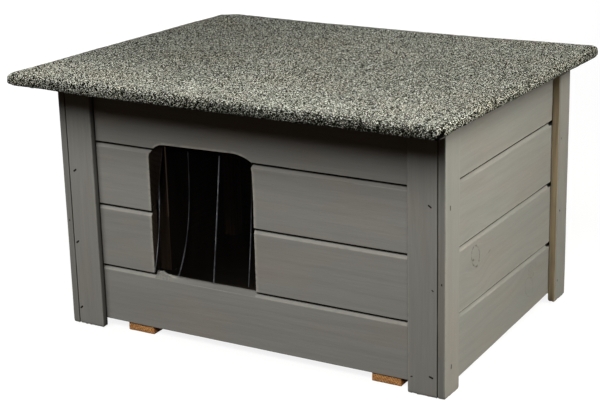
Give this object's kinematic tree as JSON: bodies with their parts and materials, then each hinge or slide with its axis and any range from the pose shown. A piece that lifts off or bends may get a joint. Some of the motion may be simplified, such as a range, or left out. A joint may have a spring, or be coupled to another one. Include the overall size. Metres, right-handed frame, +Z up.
{
  "type": "cat house",
  "caption": "Boxy outdoor cat house of grey tongue-and-groove boards on runners, with a felted lid hinged at the rear and a door opening closed by hanging clear strips.",
  "frame": {"origin": "centre of the lid's outline in plan, at the runners' underside", "axes": "+X right along the front wall, +Y to the rear, +Z up"},
  "size_m": [0.651, 0.5376, 0.3853],
  "materials": {
    "painted_boards": "thin warm-grey paint over sawn softwood, faint grain and knots",
    "painted_trims": "thin warm-grey paint over planed battens, upright grain",
    "runner_wood": "bare orange-brown softwood",
    "inner_wood": "bare softwood",
    "panel_wood": "bare plywood",
    "mineral_felt": "bitumen felt with grey mineral granules",
    "clear_pvc": "clear flexible PVC",
    "zinc_steel": "zinc plated",
    "nail_steel": "dull steel"
  },
  "bodies": {
    "house": {"back_board_2": "painted_boards", "back_board_3": "painted_boards", "back_board_bottom": "painted_boards", "back_board_top": "painted_boards", "back_trim_left": "painted_trims", "back_trim_right": "painted_trims", "board_nails": "nail_steel", "curtain_band": "clear_pvc", "curtain_clamp_bar": "inner_wood", "curtain_screws": "zinc_steel", "door_batten_left": "inner_wood", "door_batten_right": "inner_wood", "floor_panel": "panel_wood", "front_board_2_left": "painted_boards", "front_board_2_right": "painted_boards", "front_board_3_left": "painted_boards", "front_board_3_right": "painted_boards", "front_board_bottom": "painted_boards", "front_board_top": "painted_boards", "front_trim_left": "painted_trims", "front_trim_right": "painted_trims", "hinge_leaf_fixed_left": "zinc_steel", "hinge_leaf_fixed_right": "zinc_steel", "hinge_pins": "zinc_steel", "hinge_screws_trim": "zinc_steel", "left_board_2": "painted_boards", "left_board_3": "painted_boards", "left_board_bottom": "painted_boards", "left_board_top": "painted_boards", "post_front_left": "inner_wood", "post_front_right": "inner_wood", "post_rear_left": "inner_wood", "post_rear_right": "inner_wood", "right_board_2": "painted_boards", "right_board_3": "painted_boards", "right_board_bottom": "painted_boards", "right_board_top": "painted_boards", "runner_left": "runner_wood", "runner_right": "runner_wood", "runner_screws": "zinc_steel", "side_trim_left_front": "painted_trims", "side_trim_left_rear": "painted_trims", "side_trim_right_front": "painted_trims", "side_trim_right_rear": "painted_trims", "stud_left": "inner_wood", "stud_right": "inner_wood", "trim_nails": "nail_steel"},
    "lid": {"lid_panel": "panel_wood", "roof_felt": "mineral_felt", "lid_batten_front": "inner_wood", "lid_batten_rear": "inner_wood", "hinge_leaf_moving_left": "zinc_steel", "hinge_leaf_moving_right": "zinc_steel", "lid_screws": "zinc_steel", "felt_nails": "nail_steel"},
    "strip_1": {"curtain_strip_1": "clear_pvc"},
    "strip_2": {"curtain_strip_2": "clear_pvc"},
    "strip_3": {"curtain_strip_3": "clear_pvc"},
    "strip_4": {"curtain_strip_4": "clear_pvc"},
    "strip_5": {"curtain_strip_5": "clear_pvc"}
  },
  "joints": [
    {"name": "lid_hinge", "type": "hinge", "parent": "house", "child": "lid", "pos_m": [0, 0.2282, 0.35879], "axis": [-1, 0, 0], "range_deg": [0, 93]},
    {"name": "strip_1_swing", "type": "hinge", "parent": "house", "child": "strip_1", "pos_m": [-0.1771, -0.16805, 0.2785], "axis": [1, 0, 0], "range_deg": [0, 75]},
    {"name": "strip_2_swing", "type": "hinge", "parent": "house", "child": "strip_2", "pos_m": [-0.1259, -0.16805, 0.2785], "axis": [1, 0, 0], "range_deg": [-45, 75]},
    {"name": "strip_3_swing", "type": "hinge", "parent": "house", "child": "strip_3", "pos_m": [-0.0747, -0.16805, 0.2785], "axis": [1, 0, 0], "range_deg": [-45, 75]},
    {"name": "strip_4_swing", "type": "hinge", "parent": "house", "child": "strip_4", "pos_m": [-0.0235, -0.16805, 0.2785], "axis": [1, 0, 0], "range_deg": [-45, 75]},
    {"name": "strip_5_swing", "type": "hinge", "parent": "house", "child": "strip_5", "pos_m": [0.0277, -0.16805, 0.2785], "axis": [1, 0, 0], "range_deg": [0, 75]}
  ]
}
